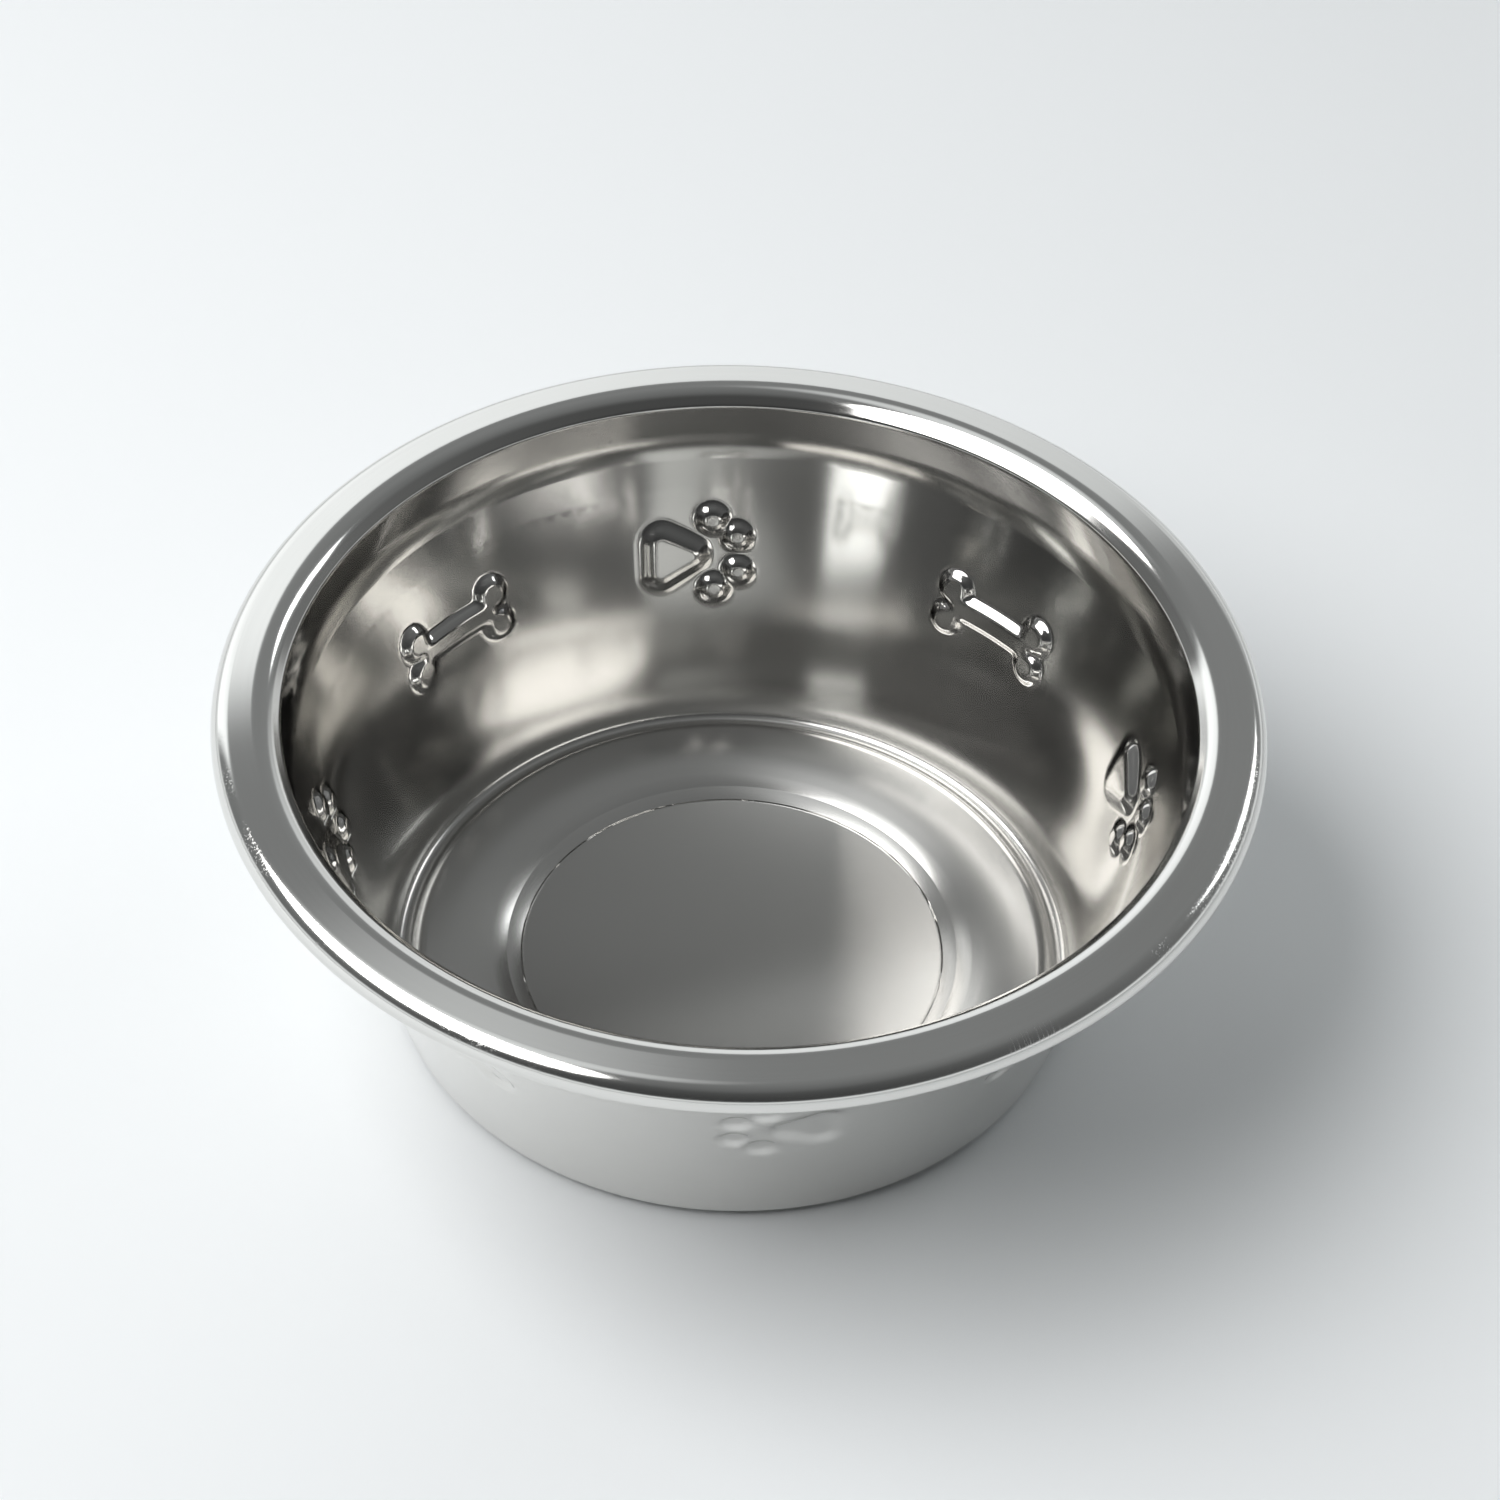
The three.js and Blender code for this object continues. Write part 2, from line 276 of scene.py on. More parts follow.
# %% Columns round the axis
FINE_COLUMNS = 688
JOIN_COLUMNS = FINE_COLUMNS // 2
COARSE_COLUMNS = FINE_COLUMNS // 4
MOTIF_HALF_ANGLE = np.radians(12.5)
MOTIF_CROWDING = 0.8
EVEN_STEPS = 7200


def column_angles():
    """Angles at equal shares of a density that is 1, and higher by the crowding near each motif."""
    even = np.linspace(0, 2 * np.pi, EVEN_STEPS + 1)
    pitch = 2 * np.pi / MOTIFS_OF_EACH
    azimuths = np.array([[PAW_AZIMUTH], [BONE_AZIMUTH]])
    offsets = abs((even - azimuths + pitch / 2) % pitch - pitch / 2)
    near = np.clip(2 - offsets.min(axis=0) / MOTIF_HALF_ANGLE, 0, 1)
    filled = np.concatenate([[0], np.cumsum(1 + MOTIF_CROWDING * near[:-1])])
    return np.interp(np.arange(FINE_COLUMNS) / FINE_COLUMNS, filled / filled[-1], even)


ANGLES = column_angles()
column_widths = np.diff(ANGLES) * FOOT_RADIUS / MM
print("column widths at the foot in mm:", round(column_widths.min(), 2), "to", round(column_widths.max(), 2))

# %% Rows of the upper face
BAND_HALF_WIDTH = 10.6 * MM
BAND_GAP = 0.9 * MM
BAND_ROWS = 44
DISC_ROWS = 5
ANNULUS_ROWS = 1
LOWER_WALL_ROWS = 6
UPPER_WALL_ROWS = 3
FLANGE_ROWS = 1

bow_foot, bow_top = waist_arc[0][0], waist_arc[0][-1]
bow_radius = WAIST_BEND + SHEET
bow_centre = bow_foot + waist_arc[1][0] * bow_radius
motif_height = OVERALL_HEIGHT - MOTIF_DROP
motif_heading = np.arccos((motif_height - bow_centre[1]) / bow_radius)


def bow(up):
    """Points on the flared wall at distances up it from the motifs' middle, along one wide arc."""
    rights = right_of(motif_heading - up / bow_radius)
    return bow_centre - bow_radius * rights, rights


def bow_run(start, end, rows):
    """Rows on the flared wall between two distances from the motifs' middle."""
    return bow(np.linspace(start, end, rows))


bow_start = bow_radius * (motif_heading - np.arctan2(waist_arc[1][0][0], -waist_arc[1][0][1]))
bow_end = bow_radius * (motif_heading - np.arctan2(waist_arc[1][-1][0], -waist_arc[1][-1][1]))
print("flared wall from the motifs' middle in mm:", np.round(np.array([bow_start, bow_end]) / MM, 2).tolist())


def joined(*stretches):
    """One list of points and one of right-hand vectors from several arcs and runs."""
    return [np.concatenate(part) for part in zip(*stretches)]


floor_face = joined(
    run(corners[0], disc_arc[0][0], inner_points=DISC_ROWS), disc_arc,
    run(disc_arc[0][-1], step_arc[0][0]), step_arc,
    run(step_arc[0][-1], annulus_arc[0][0]), annulus_arc,
    run(annulus_arc[0][-1], shoulder_arc[0][0], inner_points=ANNULUS_ROWS), shoulder_arc,
    run(shoulder_arc[0][-1], gutter_arc[0][0]), gutter_arc,
    run(gutter_arc[0][-1], bow_foot),
    bow_run(bow_start, -BAND_HALF_WIDTH - BAND_GAP, LOWER_WALL_ROWS),
)
rim_face = joined(
    bow_run(BAND_HALF_WIDTH + BAND_GAP, bow_end, UPPER_WALL_ROWS),
    run(bow_top, neck_arc[0][0]), neck_arc,
    run(neck_arc[0][-1], throat_arc[0][0]), throat_arc,
    run(throat_arc[0][-1], crown_arc[0][0]), crown_arc,
    run(crown_arc[0][-1], flange_end, inner_points=FLANGE_ROWS), curl_arc,
    [part[1:] for part in hem_arc],
)
band_up = np.linspace(-BAND_HALF_WIDTH, BAND_HALF_WIDTH, BAND_ROWS)
band_face = bow(band_up)
print("rows on one face:", len(floor_face[0]) + len(band_face[0]) + len(rim_face[0]))

# %% Rings of points, and the strips between them


def rings(points, columns):
    """Carry section points round the axis: x = r cos a, y = r sin a, z = h, one row for each point."""
    angles = ANGLES[::FINE_COLUMNS // columns]
    radius, height = points[..., :1], points[..., 1:]
    circle = np.stack([np.cos(angles), np.sin(angles)], axis=-1)
    flat = radius[..., None] * circle
    return np.concatenate([flat, np.broadcast_to(height[..., None], flat.shape[:-1] + (1,))], axis=-1)


def embossed_rings(points, rights, up, share):
    """The motif band: rings moved square to the wall, into the bowl, by a share of the embossing's height."""
    height = share * embossing(up[:, None], points[:, :1], ANGLES[None])[..., None]
    circle = np.stack([np.cos(ANGLES), np.sin(ANGLES)], axis=-1)
    outward = rights[:, None, :1] * circle[None]
    downward = np.broadcast_to(rights[:, None, 1:], outward.shape[:-1] + (1,))
    return rings(points, FINE_COLUMNS) - height * np.concatenate([outward, downward], axis=-1)


def strip(first, second):
    """Faces between two rows of points: squares where they match, and triangles to a row of half or one."""
    if len(second) > len(first):
        return strip(second[::-1], first[::-1])
    a, a_next = first, np.roll(first, -1)
    if len(second) == len(first):
        return np.stack([a, second, np.roll(second, -1), a_next], axis=1)
    if len(second) == 1:
        return np.stack([a, np.broadcast_to(second, a.shape), a_next, np.full_like(a, -1)], axis=1)
    even, odd, after = a[::2], a[1::2], np.roll(a, -2)[::2]
    b, b_next, none = second, np.roll(second, -1), np.full_like(second, -1)
    fans = [(even, b, odd, none), (odd, b, b_next, none), (odd, b_next, after, none)]
    return np.concatenate([np.stack(fan, axis=1) for fan in fans])


def skin(blocks):
    """Number the points of a chain of blocks of rows, and join each row to the next with a strip."""
    points = np.concatenate([block.reshape(-1, 3) for block in blocks])
    widths = [width for block in blocks for width in [block.shape[1]] * block.shape[0]]
    starts = np.cumsum([0] + widths)
    rows = [np.arange(start, start + width) for start, width in zip(starts, widths)]
    return points, np.concatenate([strip(*pair) for pair in zip(rows, rows[1:])])


def mesh_object(name, points, faces):
    """A smooth mesh from arrays. A face of three corners has -1 as its fourth."""
    mesh = bpy.data.meshes.new(name)
    sizes = (faces >= 0).sum(axis=1)
    mesh.vertices.add(len(points))
    mesh.vertices.foreach_set("co", points.astype(np.float32).ravel())
    mesh.loops.add(int(sizes.sum()))
    mesh.loops.foreach_set("vertex_index", faces[faces >= 0].astype(np.int32))
    mesh.polygons.add(len(faces))
    mesh.polygons.foreach_set("loop_start", (np.cumsum(sizes) - sizes).astype(np.int32))
    mesh.update(calc_edges=True)
    mesh.shade_smooth()
    piece = bpy.data.objects.new(name, mesh)
    bpy.context.scene.collection.objects.link(piece)
    print(name, "points:", len(points), "triangles:", int((sizes - 2).sum()), "valid:", not mesh.validate())
    return piece


# %% [markdown]
# ## The bowl
#
# The chain of rows starts at the middle of the disc, runs up over the rim, turns back at the cut edge
# inside the hem, and returns along the underside. The outside takes half the embossing, because its
# hollows are faint on the real bowl. A Solidify modifier would be shorter, but it can't give the two
# faces different embossing.

# %% Both faces of the sheet as one closed skin


def face_blocks(offset, share):
    """One face of the sheet from disc to hem, an offset to the right, with a share of the embossing."""
    floor, band, rim = (points + offset * rights for points, rights in (floor_face, band_face, rim_face))
    return [
        rings(floor[:-1], COARSE_COLUMNS),
        rings(floor[-1:], JOIN_COLUMNS),
        embossed_rings(band, band_face[1], band_up, share),
        rings(rim[:1], JOIN_COLUMNS),
        rings(rim[1:], COARSE_COLUMNS),
    ]


def axis_point(offset):
    """The point where a face of the disc meets the axis: the disc's height less the offset."""
    return np.array([[[0.0, 0.0, disc_height - offset]]])


upper = [axis_point(0.0)] + face_blocks(0.0, 1.0)
under = [axis_point(SHEET)] + face_blocks(SHEET, OUTSIDE_SHARE)
bowl_points, bowl_faces = skin(upper + [block[::-1] for block in under[::-1]])
bowl = mesh_object("pressed_bowl", bowl_points, bowl_faces)
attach(bowl, "root")
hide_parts("bowl_shell")

# %% [markdown]
# ## Which points are inside
#
# The finish inside the bowl differs from the finish outside: it is painted a darker steel colour, as shade
# inside the bowl, and its annulus is rougher and dished. The two faces of the sheet lie so close together
# that a place can't tell them apart. Each point therefore carries a number, 1 inside the bowl and 0
# elsewhere. Two materials would do as well, but the finish would then change along a hard line.

# %% The inside as a number on each point
INSIDE_RADIUS = throat_radius + LIP_WIDTH / 2

upper_count = sum(len(block.reshape(-1, 3)) for block in upper)
point_radius = np.hypot(bowl_points[:, 0], bowl_points[:, 1])
inside_points = (np.arange(len(bowl_points)) < upper_count) & (point_radius < INSIDE_RADIUS)
inside_mark = bowl.data.attributes.new("inside", "FLOAT", "POINT")
inside_mark.data.foreach_set("value", inside_points.astype(np.float32))
print("points on the inside:", int(inside_points.sum()))

# %% [markdown]
# ## The non-slip ring
#
# A moulded rubber ring fills the channel under the annulus. Its corners are rounded, as a mould leaves
# them, and its top follows the slope of the sheet above it. It is one outline turned about the axis, like
# the bowl.

# %% A rounded ring section turned about the axis
RING_CLEARANCE = 0.35 * MM
RING_SETBACK = 2.4 * MM
RING_MARGIN = 0.9 * MM
RING_CHAMFER = 0.8 * MM
RING_ROUNDING = 0.4 * MM
RING_CORNER_POINTS = 6

ring_inner = step_radius + RING_SETBACK
ring_outer = shoulder_radius - RING_MARGIN
ring_shoulder = ring_outer - RING_CHAMFER


def ring_top(radius):
    """Height of the ring's top: the annulus's upper face less the sheet and the clearance."""
    radii = (step_radius, annulus_radius, shoulder_radius)
    heights = (step_height, annulus_height, shoulder_height)
    return np.interp(radius, radii, heights) - SHEET - RING_CLEARANCE


def rounded_loop(points, rounding):
    """A closed outline with round corners: each is (1-t)^2 start + 2t(1-t) corner + t^2 end."""
    before, after = np.roll(points, 1, axis=0) - points, np.roll(points, -1, axis=0) - points
    before /= np.linalg.norm(before, axis=1, keepdims=True)
    after /= np.linalg.norm(after, axis=1, keepdims=True)
    t = np.linspace(0, 1, RING_CORNER_POINTS)[None, :, None]
    start, end = (points + rounding * before)[:, None], (points + rounding * after)[:, None]
    curves = (1 - t)**2 * start + 2 * t * (1 - t) * points[:, None] + t**2 * end
    return curves.reshape(-1, 2)


ring_outline = rounded_loop(np.array([
    (ring_inner, 0.0),
    (ring_outer, 0.0),
    (ring_outer, ring_top(ring_outer) - RING_CHAMFER),
    (ring_shoulder, ring_top(ring_shoulder)),
    (annulus_radius, ring_top(annulus_radius)),
    (ring_inner, ring_top(ring_inner)),
])[::-1], RING_ROUNDING)
ring_points, ring_faces = skin([rings(ring_outline, JOIN_COLUMNS)])
last_row = len(ring_points) - JOIN_COLUMNS
closing = strip(np.arange(last_row, len(ring_points)), np.arange(JOIN_COLUMNS))
ring = mesh_object("rubber_ring", ring_points, np.concatenate([ring_faces, closing]))
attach(ring, "root")
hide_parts("non_slip_ring")

# %% [markdown]
# ## Sums of shader values
#
# A finish is a formula over the surface: a mask, a grain, a colour between two others. Wiring each Math
# node by hand hides that formula. A small class that stands for one socket lets it be written as an
# expression, and one method makes every other node.

# %% A socket that can be added, multiplied and compared
NOISE_DETAIL = 2.0
NOISE_ROUGHNESS = 0.5


class Value:
    """One output in a node tree. An operator on it adds the Math node of that name."""

    def __init__(self, tree, socket=None):
        self.tree, self.socket = tree, socket

    def node(self, kind, settings, inputs, output=0):
        """Make a node: its settings come first, then each socket gets a number, a colour or a link."""
        made = self.tree.nodes.new(kind)
        for name, setting in settings.items():
            setattr(made, name, setting)
        for name, value in inputs.items():
            if isinstance(value, Value):
                self.tree.links.new(value.socket, made.inputs[name])
            else:
                made.inputs[name].default_value = value
        return Value(self.tree, made.outputs[output] if made.outputs else None)

    def math(self, operation, *values):
        """A Math node on any mix of numbers and sockets."""
        return self.node("ShaderNodeMath", {"operation": operation}, dict(enumerate(values)))

    def __add__(self, other):
        return self.math("ADD", self, other)

    def __sub__(self, other):
        return self.math("SUBTRACT", self, other)

    def __rsub__(self, other):
        return self.math("SUBTRACT", other, self)

    def __mul__(self, other):
        return self.math("MULTIPLY", self, other)

    def __truediv__(self, other):
        return self.math("DIVIDE", self, other)

    def __rtruediv__(self, other):
        return self.math("DIVIDE", other, self)

    def __pow__(self, other):
        return self.math("POWER", self, other)

    def __rpow__(self, other):
        return self.math("POWER", other, self)

    __radd__, __rmul__ = __add__, __mul__

    def step(self, low, high):
        """A soft step from 0 at one value to 1 at another. The first may be the greater."""
        settings = {"interpolation_type": "SMOOTHSTEP"}
        return self.node("ShaderNodeMapRange", settings, {"Value": self, "From Min": low, "From Max": high})

    def parts(self):
        """The x, y and z of a vector."""
        made = self.node("ShaderNodeSeparateXYZ", {}, {0: self})
        return [Value(self.tree, socket) for socket in made.socket.node.outputs]

    def vector(self, x, y, z):
        """A vector from three numbers or sockets."""
        return self.node("ShaderNodeCombineXYZ", {}, {0: x, 1: y, 2: z})

    def noise(self, vector, scale, detail=NOISE_DETAIL, roughness=NOISE_ROUGHNESS):
        """Soft noise between 0 and 1 at a vector."""
        inputs = {"Vector": vector, "Scale": scale, "Detail": detail, "Roughness": roughness}
        return self.node("ShaderNodeTexNoise", {}, inputs)

    def mix(self, first, second):
        """A colour between two others, with this value as the share of the second."""
        settings = {"data_type": "RGBA"}
        return self.node("ShaderNodeMix", settings, {0: self, 6: first, 7: second}, output=2)


def new_material(name):
    """An empty node material, and a Value to make its nodes from."""
    material = bpy.data.materials.new(name)
    material.use_nodes = True
    material.node_tree.nodes.clear()
    return material, Value(material.node_tree)


def finish_material(material, surface):
    """Link a shader to the material's output, and count the nodes."""
    surface.node("ShaderNodeOutputMaterial", {}, {"Surface": surface})
    print(material.name, "nodes:", len(material.node_tree.nodes))
    return material


# %% [markdown]
# ## Wear on the edge
#
# A bowl that is pushed about and stacked wears first on its curled edge. The real one has small specks
# there, in patches, and one hatch of short scratches at the front right. Both are rougher and slightly
# lower than the steel round them, so they catch the light as real ones do. Painted spots would look the
# same from every side.

# %% Specks and scratches, in a narrow band of radius
WEAR_START = RIM_RADIUS - np.array([2.6, 2.0]) * MM
WEAR_END = RIM_RADIUS - np.array([0.2, 0.8]) * MM
WEAR_SPECK = 1 / (0.40 * MM)
WEAR_PATCH = 1 / (14.0 * MM)
WEAR_SPECK_EDGE = (0.56, 0.64)
WEAR_PATCH_EDGE = (0.50, 0.62)
HATCH_TURN = np.radians(-57.0)
HATCH_LINES = 1 / (0.38 * MM)
HATCH_LINE_EDGE = (0.50, 0.58)
HATCH_REACH = np.array([6.0, 3.0]) * MM


def edge_wear(make, place, radius):
    """Wear from 0 to 1: specks times patches, plus scratches times their window, all times the band."""
    x, y, _ = place.parts()
    on_curl = radius.step(*WEAR_START) * radius.step(*WEAR_END)
    specks = make.noise(place, WEAR_SPECK).step(*WEAR_SPECK_EDGE)
    patches = make.noise(place, WEAR_PATCH).step(*WEAR_PATCH_EDGE)
    outwards = x * np.cos(HATCH_TURN) + y * np.sin(HATCH_TURN)
    along = y * np.cos(HATCH_TURN) - x * np.sin(HATCH_TURN)
    scratches = make.noise(make.vector(along * HATCH_LINES, 0.0, 0.0), 1.0).step(*HATCH_LINE_EDGE)
    window = outwards.step(0.0, throat_radius) * make.math("ABSOLUTE", along).step(*HATCH_REACH)
    return on_curl * (specks * patches + scratches * window)


print("worn band in mm from the axis:", np.round(np.array([WEAR_START[0], WEAR_END[0]]) / MM, 2).tolist())

# %% [markdown]
# ## The satin disc
#
# The middle of the floor keeps the straight grain of the sheet as it was rolled. Noise on Object
# coordinates, stretched along x, gives the grain. The reflections on the real disc suggest that it is a
# little hollow too, so the finish bends them with a height that grows with the square of the distance
# from its lowest point.

# %% Satin steel
# Painted shade: the inside of the bowl takes a darker copy of the steel colour than the outside, as if in its
# own shade.
INSIDE_SHADED_COLOUR = (0.605, 0.597, 0.578, 1.0)
INSIDE_SHADED_DULL = (0.535, 0.527, 0.508, 1.0)
NOISE_MIDDLE = 0.5
FINE_NOISE = {"detail": 3.0, "roughness": 0.6}
GRAIN_LINES = 1 / (0.22 * MM)
GRAIN_LENGTH = 1 / (14.0 * MM)
GRAIN_DEPTH = 0.0015 * MM
GRAIN_ROUGHNESS = 0.1
DISC_ROUGHNESS = 0.24
DISC_HOLLOW = 3.4 * MM
DISC_LOW = np.array([-8.0, 8.0]) * MM


def satin_steel(make, place):
    """Grain along x, and a height of hollow times (distance from the low / radius of the disc)^2."""
    x, y, _ = place.parts()
    grain = make.noise(make.vector(x * GRAIN_LENGTH, y * GRAIN_LINES, 0.0), 1.0, **FINE_NOISE)
    from_low = (x - DISC_LOW[0]) ** 2.0 + (y - DISC_LOW[1]) ** 2.0
    height = from_low * (DISC_HOLLOW / disc_radius**2) + grain * GRAIN_DEPTH
    bump = make.node("ShaderNodeBump", {}, {"Distance": 1.0, "Height": height})
    # The disc takes the inside's darker steel colour, which is painted shade, varied by its grain.
    return make.node("ShaderNodeBsdfPrincipled", {}, {
        "Base Color": grain.mix(INSIDE_SHADED_COLOUR, INSIDE_SHADED_DULL), "Metallic": 1.0,
        "Roughness": DISC_ROUGHNESS + (grain - NOISE_MIDDLE) * GRAIN_ROUGHNESS, "Normal": bump})


print("grain lines in each mm:", round(GRAIN_LINES * MM, 2))

# %% [markdown]
# ## The buffed sheet
#
# The rest of the sheet is buffed while it spins, so very fine lines run round it and smear reflections up
# and down. The distance from the axis and the direction round it give those lines, because a picture
# wrapped on the bowl would stretch and show a seam. The inside is painted a darker grey than the outside,
# as shade inside the bowl, the annulus is softer and slightly dished, and the edge is worn. A Mix Shader
# sets the satin disc into it by the distance from the axis.

# %% Buffed steel, and the whole sheet
STEEL_COLOUR = (0.76, 0.755, 0.735, 1.0)
STEEL_DULL = (0.68, 0.675, 0.655, 1.0)
AXIS_GUARD = 1e-9
BUFF_LINES = 1 / (0.25 * MM)
BUFF_TURNS = 2.5
BUFF_DEPTH = 0.0002 * MM
BUFF_DULLING = 0.5
BUFF_ANISOTROPY = 0.55
ROUND_THE_AXIS = 0.25
CLOUD_SCALE = 1 / (22.0 * MM)
CLOUD_DULLING = 0.5
CLOUD_ROUGHNESS = 0.06
WALL_ROUGHNESS = 0.11
ANNULUS_ROUGHNESS = 0.22
ANNULUS_EDGE = np.array([9.0, 5.0]) * MM
ANNULUS_DISH = 1.3 * MM
WEAR_ROUGHNESS = 0.18
WEAR_DEPTH = 0.005 * MM
DISC_EDGE = 0.4 * MM


def buffed_steel(make, place, radius):
    """Lines round the axis. The dish falls with the square of the reach in from the shoulder."""
    x, y, z = place.parts()
    inside = make.node("ShaderNodeAttribute", {"attribute_name": "inside"}, {}, output="Fac")
    buff_place = make.vector(x / radius * BUFF_TURNS, y / radius * BUFF_TURNS, (radius + z) * BUFF_LINES)
    buff = make.noise(buff_place, 1.0, **FINE_NOISE)
    cloud = make.noise(place, CLOUD_SCALE)
    wear = edge_wear(make, place, radius)
    reach = make.node("ShaderNodeClamp", {}, {"Value": (shoulder_radius - radius) / ANNULUS_WIDTH})
    dish = inside * reach * reach * -ANNULUS_DISH
    height = dish + buff * BUFF_DEPTH - wear * WEAR_DEPTH
    bump = make.node("ShaderNodeBump", {}, {"Distance": 1.0, "Height": height})
    on_annulus = inside * z.step(*ANNULUS_EDGE)
    roughness = WALL_ROUGHNESS + on_annulus * (ANNULUS_ROUGHNESS - WALL_ROUGHNESS)
    roughness = roughness + (cloud - NOISE_MIDDLE) * CLOUD_ROUGHNESS + wear * WEAR_ROUGHNESS
    dull = (buff - NOISE_MIDDLE) * BUFF_DULLING + cloud * CLOUD_DULLING
    # The inside of the bowl takes the darker copy of the steel colour: painted shade.
    colour = inside.mix(dull.mix(STEEL_COLOUR, STEEL_DULL), dull.mix(INSIDE_SHADED_COLOUR, INSIDE_SHADED_DULL))
    return make.node("ShaderNodeBsdfPrincipled", {}, {
        "Base Color": colour, "Metallic": 1.0, "Roughness": roughness,
        "Anisotropic": BUFF_ANISOTROPY, "Anisotropic Rotation": ROUND_THE_AXIS, "Normal": bump})


def steel_material():
    """Buffed and satin steel, mixed by the distance from the axis, the root of x^2 + y^2."""
    material, make = new_material("buffed_steel")
    place = make.node("ShaderNodeTexCoord", {}, {}, output="Object")
    x, y, _ = place.parts()
    radius = (x * x + y * y + AXIS_GUARD) ** 0.5
    in_disc = radius.step(disc_radius + DISC_EDGE, disc_radius - DISC_EDGE)
    shaders = {0: in_disc, 1: buffed_steel(make, place, radius), 2: satin_steel(make, place)}
    return finish_material(material, make.node("ShaderNodeMixShader", {}, shaders))


bowl.data.materials.append(steel_material())

# %% [markdown]
# ## Moulded rubber
#
# The ring is matte black rubber with the fine texture of its mould and a little dust. A flat black would
# hide its rounded corners, so the colour and the roughness vary slightly with a noise.

# %% Rubber
RUBBER_DARK = (0.018, 0.018, 0.019, 1.0)
RUBBER_DUSTY = (0.05, 0.05, 0.052, 1.0)
RUBBER_ROUGHNESS = 0.62
RUBBER_GRAIN = 1 / (0.5 * MM)
RUBBER_GRAIN_DEPTH = 0.03 * MM
DUST_SCALE = 1 / (9.0 * MM)
DUST_DETAIL = 4.0
DUST_EDGE = (0.45, 0.75)
DUST_ROUGHNESS = 0.2


def rubber_material():
    """Dark rough rubber: a fine bump from the mould, and lighter patches where dust clings."""
    material, make = new_material("moulded_rubber")
    place = make.node("ShaderNodeTexCoord", {}, {}, output="Object")
    mould = make.noise(place, RUBBER_GRAIN)
    dust = make.noise(place, DUST_SCALE, detail=DUST_DETAIL).step(*DUST_EDGE)
    bump = make.node("ShaderNodeBump", {}, {"Distance": RUBBER_GRAIN_DEPTH, "Height": mould})
    return finish_material(material, make.node("ShaderNodeBsdfPrincipled", {}, {
        "Base Color": dust.mix(RUBBER_DARK, RUBBER_DUSTY),
        "Roughness": RUBBER_ROUGHNESS + dust * DUST_ROUGHNESS, "Normal": bump}))


ring.data.materials.append(rubber_material())

# %% [markdown]
# ## The floor
#
# The bowl stands on pale matte paper, which takes its soft shadow and shows again in the outside of the
# wall. One flat round face is enough, and it is wide enough that no camera sees its edge near the bowl.

# %% Floor
FLOOR_RADIUS = 3.0
FLOOR_CORNERS = 96
FLOOR_COLOUR = (0.93, 0.95, 0.96, 1.0)
FLOOR_SHADE = (0.90, 0.92, 0.93, 1.0)
FLOOR_CLOUD = 4.0
FLOOR_ROUGHNESS = 0.8

floor_turn = np.linspace(0, 2 * np.pi, FLOOR_CORNERS, endpoint=False)
floor_points = np.stack([np.cos(floor_turn), np.sin(floor_turn), 0 * floor_turn], axis=-1) * FLOOR_RADIUS
floor_mesh = bpy.data.meshes.new("floor")
floor_mesh.from_pydata(floor_points.tolist(), [], [list(range(FLOOR_CORNERS))])
floor = bpy.data.objects.new("floor", floor_mesh)
bpy.context.scene.collection.objects.link(floor)


def floor_material():
    """Pale matte paper, slightly uneven."""
    material, make = new_material("pale_paper")
    place = make.node("ShaderNodeTexCoord", {}, {}, output="Object")
    cloud = make.noise(place, FLOOR_CLOUD)
    return finish_material(material, make.node("ShaderNodeBsdfPrincipled", {}, {
        "Base Color": cloud.mix(FLOOR_COLOUR, FLOOR_SHADE), "Roughness": FLOOR_ROUGHNESS}))


floor_mesh.materials.append(floor_material())

# %% [markdown]
# ## The room
#
# Polished steel shows its surroundings more than itself, so the studio decides the look. The room is grey
# and darker in front. A pale sheet with a sloping top rises behind the bowl, a small panel stands behind
# on the right, and some light spills from above. The world gives all of them as soft steps over the
# direction of view, which is quicker than building a room. The camera sees a pale backdrop instead, and
# low down so does metal.

# %% World
ROOM_TINT = (0.96, 0.99, 1.0, 1.0)
ROOM_GREY = 0.17
ROOM_FRONT_DARK = 0.12
ROOM_TOP = 0.04
ROOM_TOP_EDGE = (0.75, 0.95)
SHEET_WHITE = 0.70
SHEET_FADE = 0.85
SHEET_SLOPE = 0.70
SHEET_LEAN = 0.45
SHEET_TOP = (-0.06, 0.06)
SHEET_SIDES = (0.56, 0.64)
PANEL_TURN = np.radians(38.0)
PANEL_SIDES = np.cos(np.radians((16.0, 11.0)))
PANEL_FOOT = np.sin(np.radians((26.0, 29.0)))
PANEL_TOP = np.sin(np.radians((40.0, 36.0)))
PANEL_WHITE = 4.6
SPILL_WAY = (-0.296, 0.231, 0.927)
SPILL_EDGE = np.cos(np.radians((20.0, 6.0)))
SPILL_WHITE = 0.6
BACKDROP_WHITE = 0.9
BACKDROP_TOP = np.sin(np.radians((11.0, 5.0)))
BACKDROP_RAYS = ("Is Camera Ray", "Is Glossy Ray", "Is Transmission Ray")
LEVEL_GUARD = 1.0001

world = bpy.data.worlds.new("studio")
world.use_nodes = True
world.node_tree.nodes.clear()
bpy.context.scene.world = world
make = Value(world.node_tree)
look_x, look_y, look_z = make.node("ShaderNodeTexCoord", {}, {}, output="Generated").parts()

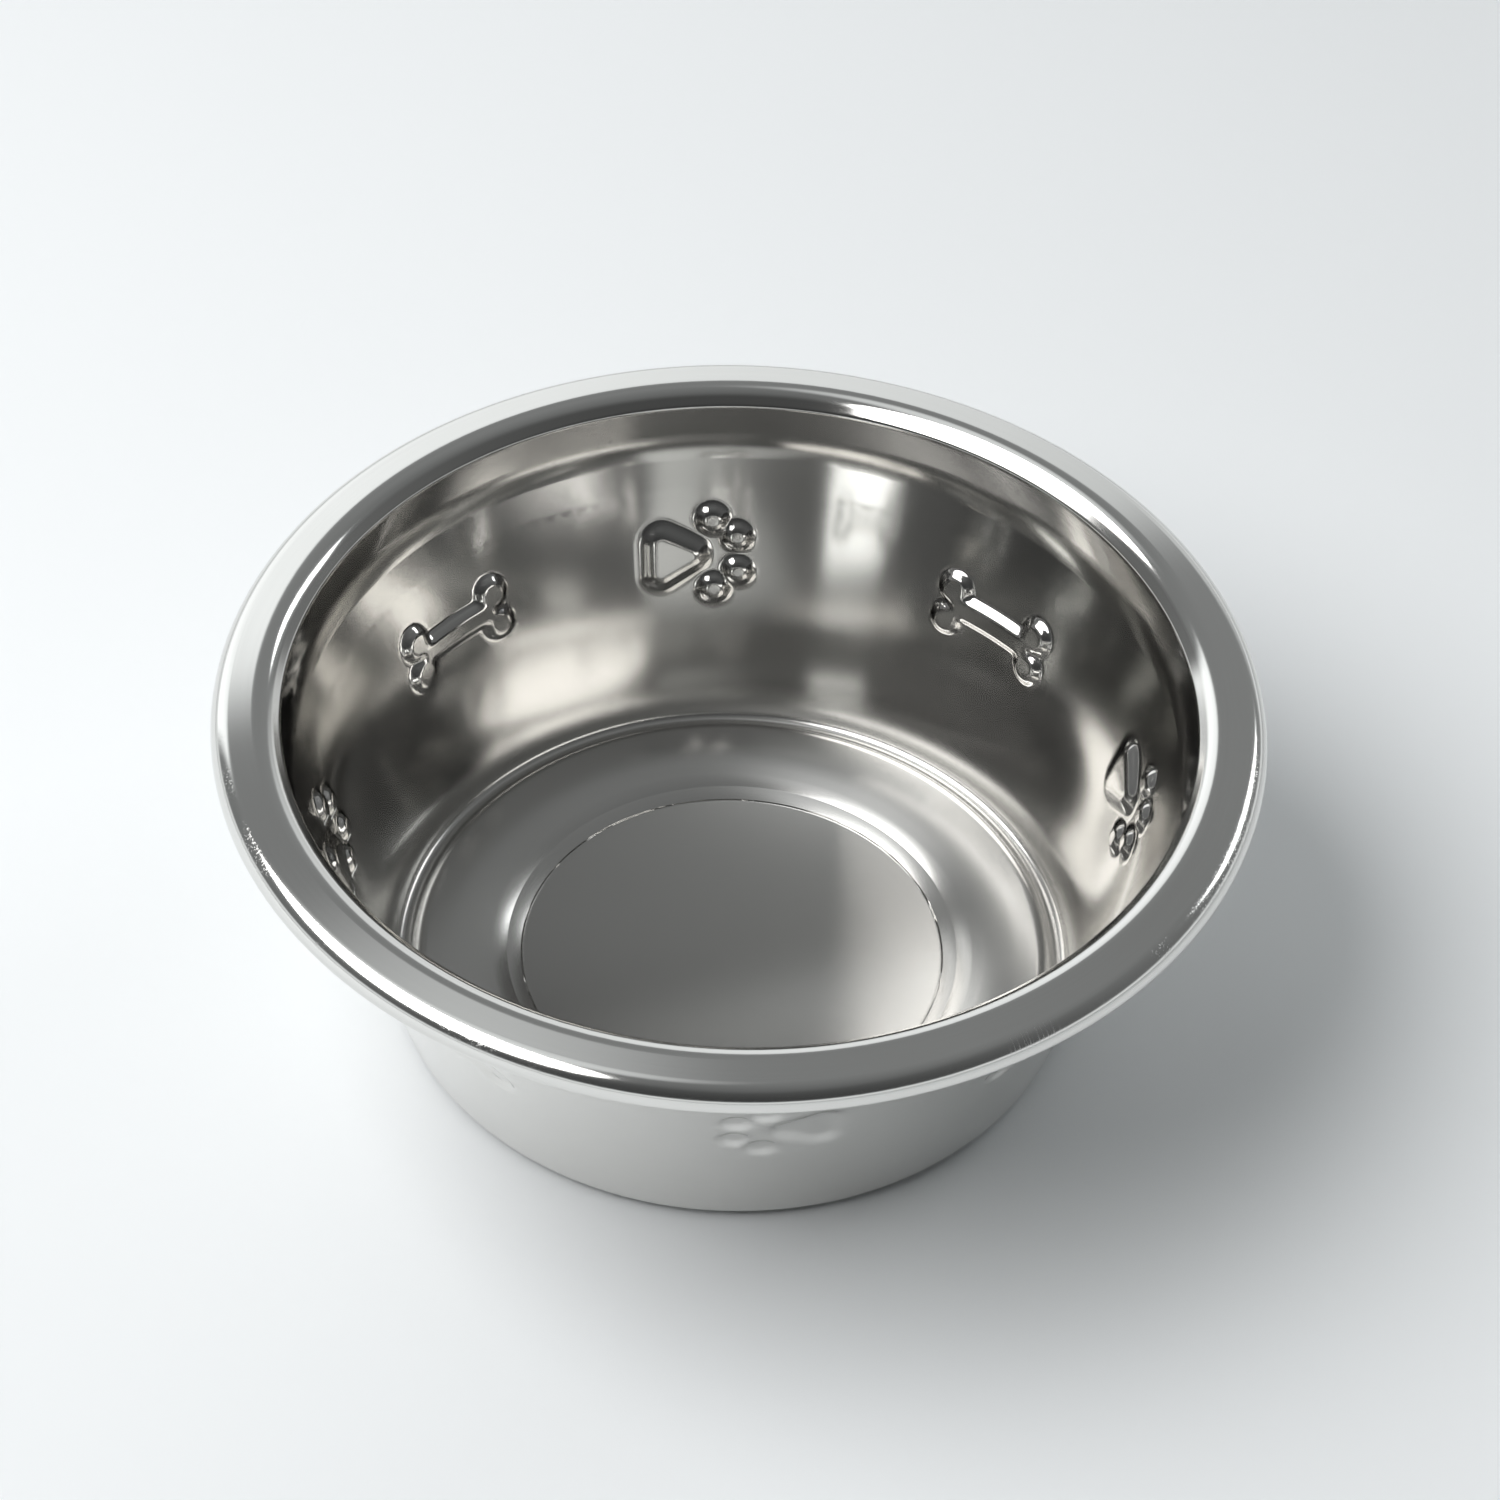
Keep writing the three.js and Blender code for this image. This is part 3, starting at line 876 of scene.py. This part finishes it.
room = ROOM_GREY + look_y * ROOM_FRONT_DARK + look_z.step(*ROOM_TOP_EDGE) * ROOM_TOP
below_top = look_y * SHEET_SLOPE - look_x * SHEET_LEAN - look_z
on_sheet = below_top.step(*SHEET_TOP) * look_y.step(*SHEET_SIDES)
sheet = on_sheet * (SHEET_WHITE - look_x * SHEET_FADE)
level = (LEVEL_GUARD - look_z * look_z) ** 0.5
towards_panel = (look_x * np.cos(PANEL_TURN) + look_y * np.sin(PANEL_TURN)) / level
on_panel = towards_panel.step(*PANEL_SIDES) * look_z.step(*PANEL_FOOT) * look_z.step(*PANEL_TOP)
towards_spill = look_x * SPILL_WAY[0] + look_y * SPILL_WAY[1] + look_z * SPILL_WAY[2]
studio = room + sheet + on_panel * PANEL_WHITE + towards_spill.step(*SPILL_EDGE) * SPILL_WHITE

# %% Backdrop
by_camera, by_metal, by_glass = [
    make.node("ShaderNodeLightPath", {}, {}, output=ray) for ray in BACKDROP_RAYS]
in_backdrop = by_camera + (by_metal + by_glass) * look_z.step(*BACKDROP_TOP)
strength = studio + in_backdrop * (BACKDROP_WHITE - studio)
backdrop = make.node("ShaderNodeBackground", {}, {"Color": ROOM_TINT, "Strength": strength})
backdrop.node("ShaderNodeOutputWorld", {}, {"Surface": backdrop})
print("world nodes:", len(world.node_tree.nodes))

# %% [markdown]
# ## The lamp
#
# One large oval lamp stands high on the left, as a soft box or a window would. It is the only lamp, so
# the floor has one soft shadow on the right. An oval has no corners that would show as bright patches in
# the polished wall.

# %% Lamp
LAMP_DISTANCE = 1.2
KEY_WAY = np.radians((192.0, 55.0))
KEY_SIZE = (1.36, 0.84)
KEY_RADIANCE = 4.6


def oval_lamp(name, way, size, radiance):
    """A lamp that faces the bowl from an azimuth and an elevation, of pi * area * radiance watts."""
    azimuth, elevation = way
    level = np.cos(elevation)
    outward = Vector((np.cos(azimuth) * level, np.sin(azimuth) * level, np.sin(elevation)))
    area = np.pi / 4 * size[0] * size[1]
    lamp = bpy.data.objects.new(name, bpy.data.lights.new(name, "AREA"))
    lamp.data.shape = "ELLIPSE"
    lamp.data.size, lamp.data.size_y = size
    lamp.data.energy = np.pi * area * radiance
    turn = outward.to_track_quat("Z", "Y").to_matrix().to_4x4()
    lamp.matrix_world = Matrix.Translation(outward * LAMP_DISTANCE) @ turn
    bpy.context.scene.collection.objects.link(lamp)
    print(name, "watts:", round(lamp.data.energy, 2))


oval_lamp("key_lamp", KEY_WAY, KEY_SIZE, KEY_RADIANCE)
bpy.context.scene.view_settings.view_transform = "Standard"

# %% [markdown]
# ## The camera
#
# The camera stands where the photograph was taken from. Its height, roll and focal length were fitted to
# the ellipses of the rim and the foot. Three axes, across, up and back, place it exactly, where a Track
# To constraint would have no roll.

# %% Camera
CAMERA_DISTANCE = 680.0 * MM
CAMERA_ELEVATION = np.radians(44.158)
CAMERA_ROLL = np.radians(2.115)
RIM_PLANE = 57.5 * MM
FOCAL_PIXELS = 4344.4
IMAGE_PIXELS = 1500
SENSOR_WIDTH = 36.0
AIM = Vector((1.764 * MM, 0.0, 48.375 * MM))

eye_forward = -np.cos(CAMERA_ELEVATION) * CAMERA_DISTANCE
eye_height = RIM_PLANE + np.sin(CAMERA_ELEVATION) * CAMERA_DISTANCE
eye = Vector((0.0, eye_forward, eye_height))
back = (eye - AIM).normalized()
across = Vector((0.0, 0.0, 1.0)).cross(back).normalized()
upward = back.cross(across)
axes = Matrix((across, upward, back)).transposed()
rolled = axes @ Matrix.Rotation(CAMERA_ROLL, 3, "Z")
camera = bpy.data.objects.new("camera", bpy.data.cameras.new("camera"))
camera.matrix_world = Matrix.Translation(eye) @ rolled.to_4x4()
camera.data.sensor_width = SENSOR_WIDTH
camera.data.lens = FOCAL_PIXELS / IMAGE_PIXELS * SENSOR_WIDTH
bpy.context.scene.collection.objects.link(camera)
bpy.context.scene.camera = camera
print("lens in mm:", round(camera.data.lens, 1), "eye in m:", [round(part, 3) for part in eye])
